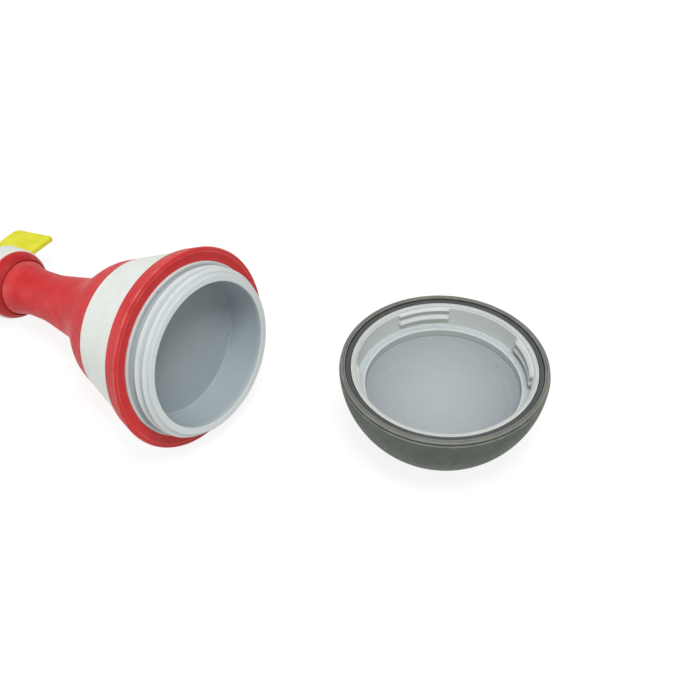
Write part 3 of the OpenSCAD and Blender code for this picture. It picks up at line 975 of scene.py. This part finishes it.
def add_lug_ridge(bm, middle, height):
    """One ridge of a lug, about a middle angle in degrees."""
    at_end = height > LINER_TOP - THREAD_PITCH / 2 or height < LEDGE_TOP + LUG_UNDER
    slope, tip_r = (LUG_SLOPE_END, LUG_TIP_END_R) if at_end else (LUG_SLOPE, LUG_TIP_R)
    tip_low = -LUG_TIP / 2
    shape = [
        (LUG_ROOT_R, slope, 0.6), (WALL_R, slope, 0.6),
        (tip_r + LUG_ROUND, 0.05, 1.0), (tip_r, -LUG_ROUND, 0.8),
        (tip_r, tip_low + LUG_ROUND, 0.3), (tip_r + LUG_ROUND, tip_low, 0.0),
        (WALL_R, -LUG_UNDER, -0.6), (LUG_ROOT_R, -LUG_UNDER, -0.6),
    ]
    sections = []
    for k in range(LUG_STEPS + 1):
        a = math.radians(middle + LUG_ARC * (k / LUG_STEPS - 0.5))
        sections.append([((r * math.cos(a), r * math.sin(a), height + z), wear) for r, z, wear in shape])
    add_sweep(bm, sections)


# How dark the painted shade in the fold between the liner's wall and its ledge is
LEDGE_FOLD = 0.2
BOWL_STEPS = 30
LINER_UNDER_STEPS = 16


def cap_liner():
    ball = BOWL_BALL + LINER_WALL
    ledge_low = LEDGE_TOP - LINER_WALL
    bowl = plain(ball_arc(BOWL_BALL, BOWL_CENTRE, BOWL_TOP, BOWL_FLOOR, BOWL_STEPS))[1:]
    under = plain(ball_arc(ball, BOWL_CENTRE, BOWL_CENTRE - ball, ledge_low, LINER_UNDER_STEPS))
    top = rounded([
        under[-1][:2] + (0,), (LINER_R, ledge_low, 0),
        (LINER_R, LINER_TOP, LINER_ROUND), (LEAD_IN_R, LINER_TOP, LINER_ROUND),
        (WALL_R, LINER_TOP - LEAD_IN_H, LINER_ROUND), (WALL_R, LEDGE_TOP, LINER_ROUND),
        (LEDGE_R, LEDGE_TOP, LEDGE_ROUND), (LEDGE_R, BOWL_TOP, BOWL_ROUND), bowl[0][:2] + (0,),
    ])
    top = [(r, z, wear if r <= LEDGE_R else max(wear, -LEDGE_FOLD)) for r, z, wear in top]
    bm = bmesh.new()
    add_lathe(bm, under[:-1] + top + bowl[1:])
    for i in range(LUG_COUNT):
        a = LUG_TURN + 360 * i / LUG_COUNT
        for z in lug_heights(a):
            add_lug_ridge(bm, a, z)
    return finish_mesh(bm, "cap_liner_moulding", Matrix.Identity(4), LINER)


# Stage

SENSOR_MM = 36.0
FOCAL_PX = 1100
CAMERA_PLACE = (-0.0402, -0.3298, 0.3702)
CAMERA_PITCH = math.radians(45.73)


def camera():
    """Camera at the photograph's viewing angle, for a square image."""
    data = bpy.data.cameras.new("camera")
    data.sensor_width = SENSOR_MM
    data.lens = SENSOR_MM * FOCAL_PX / IMAGE_PX
    obj = bpy.data.objects.new("camera", data)
    obj.location = CAMERA_PLACE
    obj.rotation_euler = (CAMERA_PITCH, 0, 0)
    bpy.context.scene.collection.objects.link(obj)
    bpy.context.scene.camera = obj


def seen_by_camera(tree):
    """One for rays that should meet a white background: from the camera, or mirrored or bent."""
    path = tree.nodes.new("ShaderNodeLightPath")
    total = path.outputs["Is Camera Ray"]
    for name in ("Is Glossy Ray", "Is Transmission Ray"):
        n = tree.nodes.new("ShaderNodeMath")
        n.operation = "MAXIMUM"
        tree.links.new(total, n.inputs[0])
        tree.links.new(path.outputs[name], n.inputs[1])
        total = n.outputs["Value"]
    return total


# Near the object the floor mixes its lit grey with this share of glow; far away it is plain white
FLOOR_SIZE = 6.0
FLOOR_GREY = 0.8
FLOOR_ROUGH = 0.9
FLOOR_WHITE = 0.75
FLOOR_GLOW = 1.16
FLOOR_NEAR = 0.4
FLOOR_FAR = 0.8

# The world's strength as light, and the lamps: name, place, target, size in metres and power in watts
AMBIENT = 0.33
LAMPS = [
    ("key_box", (0.02, -0.28, 0.98), (-0.08, 0.0, 0.03), 0.35, 7.0),
    ("side_box", (-0.8, 0.05, 0.16), (-0.13, 0.02, 0.04), 0.4, 1.0),
]


def floor_span(tree, near, far):
    """A value that runs from near to far with the distance from the middle of the floor."""
    place = tree.nodes.new("ShaderNodeTexCoord")
    reach = tree.nodes.new("ShaderNodeVectorMath")
    reach.operation = "LENGTH"
    tree.links.new(place.outputs["Object"], reach.inputs[0])
    span = tree.nodes.new("ShaderNodeMapRange")
    span.inputs["From Min"].default_value = FLOOR_NEAR
    span.inputs["From Max"].default_value = FLOOR_FAR
    span.inputs["To Min"].default_value = near
    span.inputs["To Max"].default_value = far
    tree.links.new(reach.outputs["Value"], span.inputs["Value"])
    return span.outputs["Result"]


def floor():
    """Pale floor that keeps a faint shadow under the object."""
    bpy.ops.mesh.primitive_plane_add(size=FLOOR_SIZE)
    obj = bpy.context.object
    obj.name = "floor"
    material = bpy.data.materials.new("floor")
    material.use_nodes = True
    tree = material.node_tree
    shader = tree.nodes["Principled BSDF"]
    shader.inputs["Base Color"].default_value = (FLOOR_GREY, FLOOR_GREY, FLOOR_GREY, 1)
    shader.inputs["Roughness"].default_value = FLOOR_ROUGH
    glow = tree.nodes.new("ShaderNodeEmission")
    tree.links.new(floor_span(tree, FLOOR_GLOW, 1.0), glow.inputs["Strength"])
    share = tree.nodes.new("ShaderNodeMath")
    share.operation = "MULTIPLY"
    tree.links.new(seen_by_camera(tree), share.inputs[0])
    tree.links.new(floor_span(tree, FLOOR_WHITE, 1.0), share.inputs[1])
    both = tree.nodes.new("ShaderNodeMixShader")
    tree.links.new(share.outputs["Value"], both.inputs["Fac"])
    tree.links.new(shader.outputs["BSDF"], both.inputs[1])
    tree.links.new(glow.outputs["Emission"], both.inputs[2])
    tree.links.new(both.outputs["Shader"], tree.nodes["Material Output"].inputs["Surface"])
    obj.data.materials.append(material)


def world():
    """White all round for the camera, and a softer white as light."""
    w = bpy.data.worlds.new("studio")
    bpy.context.scene.world = w
    w.use_nodes = True
    tree = w.node_tree
    background = tree.nodes["Background"]
    background.inputs["Color"].default_value = (1, 1, 1, 1)
    span = tree.nodes.new("ShaderNodeMapRange")
    span.inputs["To Min"].default_value = AMBIENT
    span.inputs["To Max"].default_value = 1.0
    tree.links.new(seen_by_camera(tree), span.inputs["Value"])
    tree.links.new(span.outputs["Result"], background.inputs["Strength"])


def lamp(name, place, target, size, power):
    """Square soft box that faces its target."""
    data = bpy.data.lights.new(name, "AREA")
    data.size = size
    data.energy = power
    obj = bpy.data.objects.new(name, data)
    obj.location = place
    obj.rotation_euler = (Vector(target) - Vector(place)).to_track_quat("-Z", "Y").to_euler()
    bpy.context.scene.collection.objects.link(obj)


def studio():
    camera()
    floor()
    world()
    for values in LAMPS:
        lamp(*values)
    bpy.context.scene.view_settings.view_transform = "Standard"


def build():
    dress(cup(), "toy", "treat_cup")
    dress(base_ring(), "toy", "base_ring")
    dress(white_band(), "toy", "white_band")
    dress(bell(), "toy", "bell_skin")
    dress(neck_collar(), "toy", "neck_collar")
    dress(mast_ring(), "toy", "mast_ring")
    dress(head(), "toy", "head_cap")
    dress(flag(), "toy", "flag")
    dress(cap_dome(), "cap", "cap_shell")
    dress(cap_rim(), "cap", "cap_rim")
    dress(cap_seal(), "seal", "cap_seal")
    dress(cap_liner(), "cap", "cap_liner")
    for node, material in (("float_core", FOAM), ("mast_tube", TUBE)):
        obj = frame["nodes"][node]
        obj.data.materials.clear()
        obj.data.materials.append(material)


studio()
build()

bpy.context.view_layer.update()
